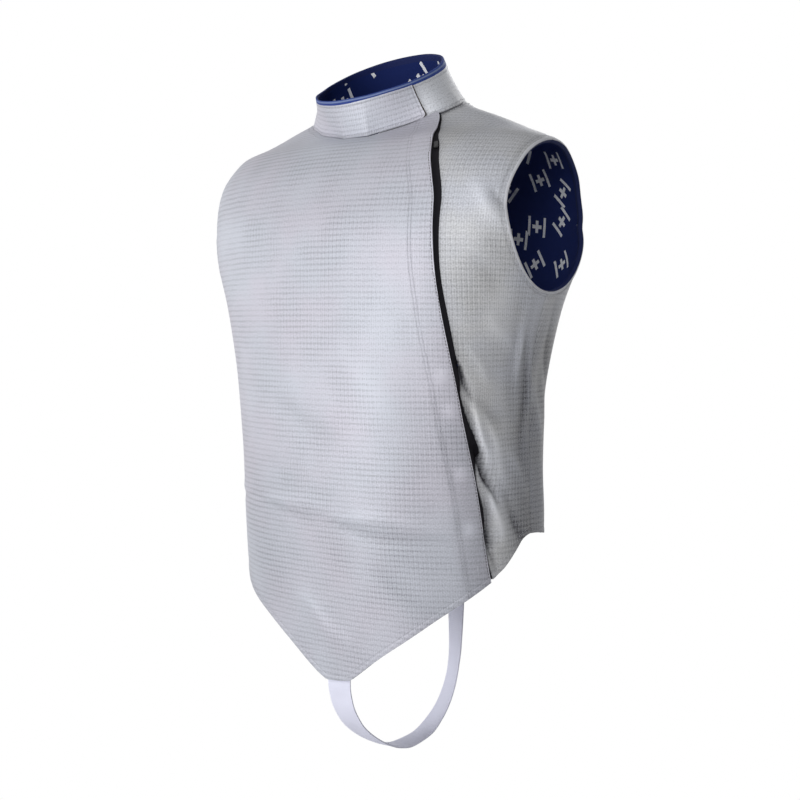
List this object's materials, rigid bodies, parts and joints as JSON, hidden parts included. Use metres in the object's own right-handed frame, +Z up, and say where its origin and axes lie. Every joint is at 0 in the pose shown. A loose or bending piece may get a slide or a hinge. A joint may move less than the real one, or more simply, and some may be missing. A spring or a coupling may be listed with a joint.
{
  "type": "foil lame",
  "caption": "Sleeveless silver conductive fencing vest in worn, hollow form: stand collar, diagonal side-front opening, pointed front hem and a strap loop from the point to the back.",
  "frame": {"origin": "middle of the neck opening, level with the points where the shoulders meet the collar, where the wearer's neck and shoulders hold the garment up", "axes": "+Z up, the wearer faces -Y, the wearer's left is +X"},
  "size_m": [0.406, 0.255, 0.7713],
  "materials": {
    "silver_cloth": "fine woven grid with a soft metallic sheen",
    "navy_lining": "matt woven lining",
    "blue_band": "matt padded band",
    "black_tape": "matt zip tape",
    "dark_steel": "satin",
    "grey_binding": "satin edge binding",
    "white_webbing": "smooth elastic webbing"
  },
  "bodies": {
    "root": {"armhole_binding_left": "grey_binding", "armhole_binding_right": "grey_binding", "back": "silver_cloth", "collar_band": "blue_band", "collar_left": "silver_cloth", "collar_lining": "navy_lining", "collar_right": "silver_cloth", "front_left": "silver_cloth", "front_right": "silver_cloth", "lining_back": "navy_lining", "lining_front": "navy_lining", "strap": "white_webbing", "zip_slider": "dark_steel", "zip_tape": "black_tape"}
  },
  "joints": []
}
